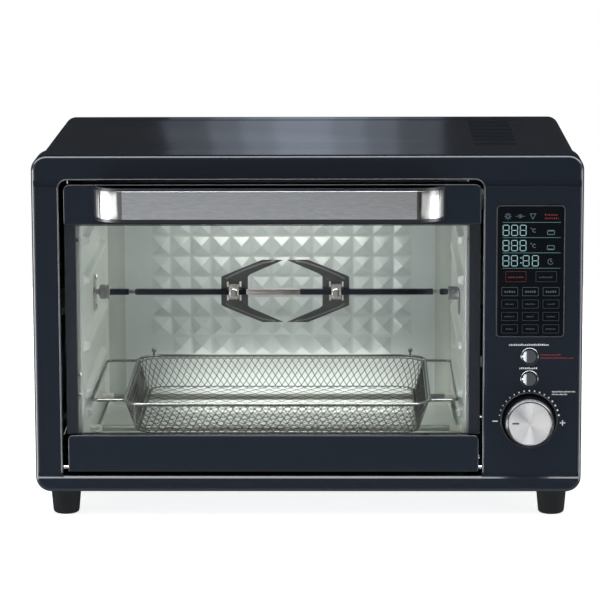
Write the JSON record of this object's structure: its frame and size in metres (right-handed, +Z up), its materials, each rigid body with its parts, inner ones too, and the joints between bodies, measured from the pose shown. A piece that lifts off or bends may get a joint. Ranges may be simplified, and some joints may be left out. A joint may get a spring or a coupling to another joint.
{
  "type": "toaster oven",
  "caption": "Countertop toaster oven: drop-down glass door, bowed bar handle, rotisserie spit with forks, wire basket, convection fan, display, push keys and a selector knob.",
  "frame": {"origin": "centre of the bounding box in X and Y, at the surface the feet stand on", "axes": "+X to the right when facing the door, -Y out through the door, +Z up"},
  "size_m": [0.546, 0.4019, 0.367],
  "materials": {
    "fascia": "satin dark navy coating",
    "cabinet": "satin dark navy coating on sheet",
    "door_paint": "satin dark navy coating",
    "foot_rubber": "matt, moulded",
    "liner": "aluminised sheet, semi-bright",
    "heater_sheath": "dark heat-stained sheath with white ceramic ends",
    "lens_glass": "clear, lightly frosted",
    "ceramic": "unglazed ceramic",
    "stainless": "stamped, semi-bright",
    "spit_steel": "dark polished steel",
    "chrome": "bright plated wire and turned parts",
    "button_chrome": "bright plated, domed",
    "plated_steel": "zinc plated",
    "fan_aluminium": "pressed sheet",
    "door_glass": "clear tempered glass with black printed border",
    "door_trim": "satin black",
    "handle_steel": "brushed lengthwise, polished bends",
    "display_glass": "black gloss with backlit segments",
    "circuit_board": "green laminate",
    "black_plastic": "semi-gloss black",
    "knob_aluminium": "radially brushed"
  },
  "bodies": {
    "casing": {"front_frame": "fascia", "outer_cabinet": "cabinet", "rear_cover": "cabinet", "base_plate": "cabinet", "foot_front_left": "foot_rubber", "foot_front_right": "foot_rubber", "foot_rear_left": "foot_rubber", "foot_rear_right": "foot_rubber", "cord_gland": "black_plastic", "cavity_left_wall": "liner", "cavity_right_wall": "liner", "cavity_roof": "liner", "cavity_floor": "liner", "cavity_back": "liner", "heater_upper_front": "heater_sheath", "heater_upper_rear": "heater_sheath", "heater_lower_front": "heater_sheath", "heater_lower_rear": "heater_sheath", "lamp_lens": "lens_glass", "lamp_holder": "ceramic", "temperature_probe": "stainless", "rotisserie_motor": "plated_steel", "socket_flange": "stainless", "spit_support": "stainless", "fan_housing": "liner", "fan_motor": "plated_steel", "display_window": "display_glass", "control_board": "circuit_board", "power_board": "circuit_board", "button_ring_upper": "chrome", "button_ring_lower": "chrome", "encoder_body": "plated_steel", "hinge_pin_left": "chrome", "hinge_pin_right": "chrome", "door_spring_left": "plated_steel", "door_spring_right": "plated_steel"},
    "door": {"door_glass": "door_glass", "door_top_rail": "door_paint", "door_bottom_rail": "door_paint", "door_stile_left": "door_trim", "door_stile_right": "door_trim", "handle_bar": "handle_steel", "handle_backing": "door_trim", "hinge_arm_left": "plated_steel", "hinge_arm_right": "plated_steel"},
    "spit": {"drive_socket": "spit_steel", "spit_rod": "spit_steel", "fork_left": "stainless", "fork_right": "stainless", "fork_screw_left": "chrome", "fork_screw_right": "chrome"},
    "fan": {"convection_fan": "fan_aluminium"},
    "basket": {"mesh_basket": "chrome", "basket_frame": "chrome"},
    "tray": {"crumb_tray": "liner"},
    "convection_key": {"convection_button": "button_chrome"},
    "start_key": {"start_button": "button_chrome"},
    "selector_shaft": {"encoder_shaft": "plated_steel"},
    "selector": {"selector_knob": "black_plastic", "knob_cap": "knob_aluminium"}
  },
  "joints": [
    {"name": "door_hinge", "type": "hinge", "parent": "casing", "child": "door", "pos_m": [-0.0345, -0.1638, 0.0512], "axis": [1, 0, 0], "range_deg": [0, 90], "stiffness_Nm_per_rad": 0.4, "springref_deg": -34.38, "deforming": ["door_spring_left", "door_spring_right"]},
    {"name": "spit_spin", "type": "hinge", "parent": "casing", "child": "spit", "pos_m": [-0.0345, -0.006, 0.203], "axis": [1, 0, 0], "continuous": true},
    {"name": "fan_spin", "type": "hinge", "parent": "casing", "child": "fan", "pos_m": [0.1565, 0.061, 0.204], "axis": [1, 0, 0], "continuous": true},
    {"name": "basket_slide", "type": "slide", "parent": "casing", "child": "basket", "axis": [0, -1, 0], "range_m": [0, 0.008]},
    {"name": "tray_slide", "type": "slide", "parent": "casing", "child": "tray", "axis": [0, -1, 0], "range_m": [0, 0.008]},
    {"name": "convection_press", "type": "slide", "parent": "casing", "child": "convection_key", "axis": [0, 1, 0], "range_m": [0, 0.001], "stiffness_N_per_m": 800, "springref_m": -0.0006},
    {"name": "start_press", "type": "slide", "parent": "casing", "child": "start_key", "axis": [0, 1, 0], "range_m": [0, 0.001], "stiffness_N_per_m": 800, "springref_m": -0.0006},
    {"name": "selector_press", "type": "slide", "parent": "casing", "child": "selector_shaft", "axis": [0, 1, 0], "range_m": [0, 0.001], "stiffness_N_per_m": 1500, "springref_m": -0.0006},
    {"name": "selector_turn", "type": "hinge", "parent": "selector_shaft", "child": "selector", "pos_m": [0.2206, -0.171, 0.1006], "axis": [0, -1, 0], "continuous": true}
  ]
}
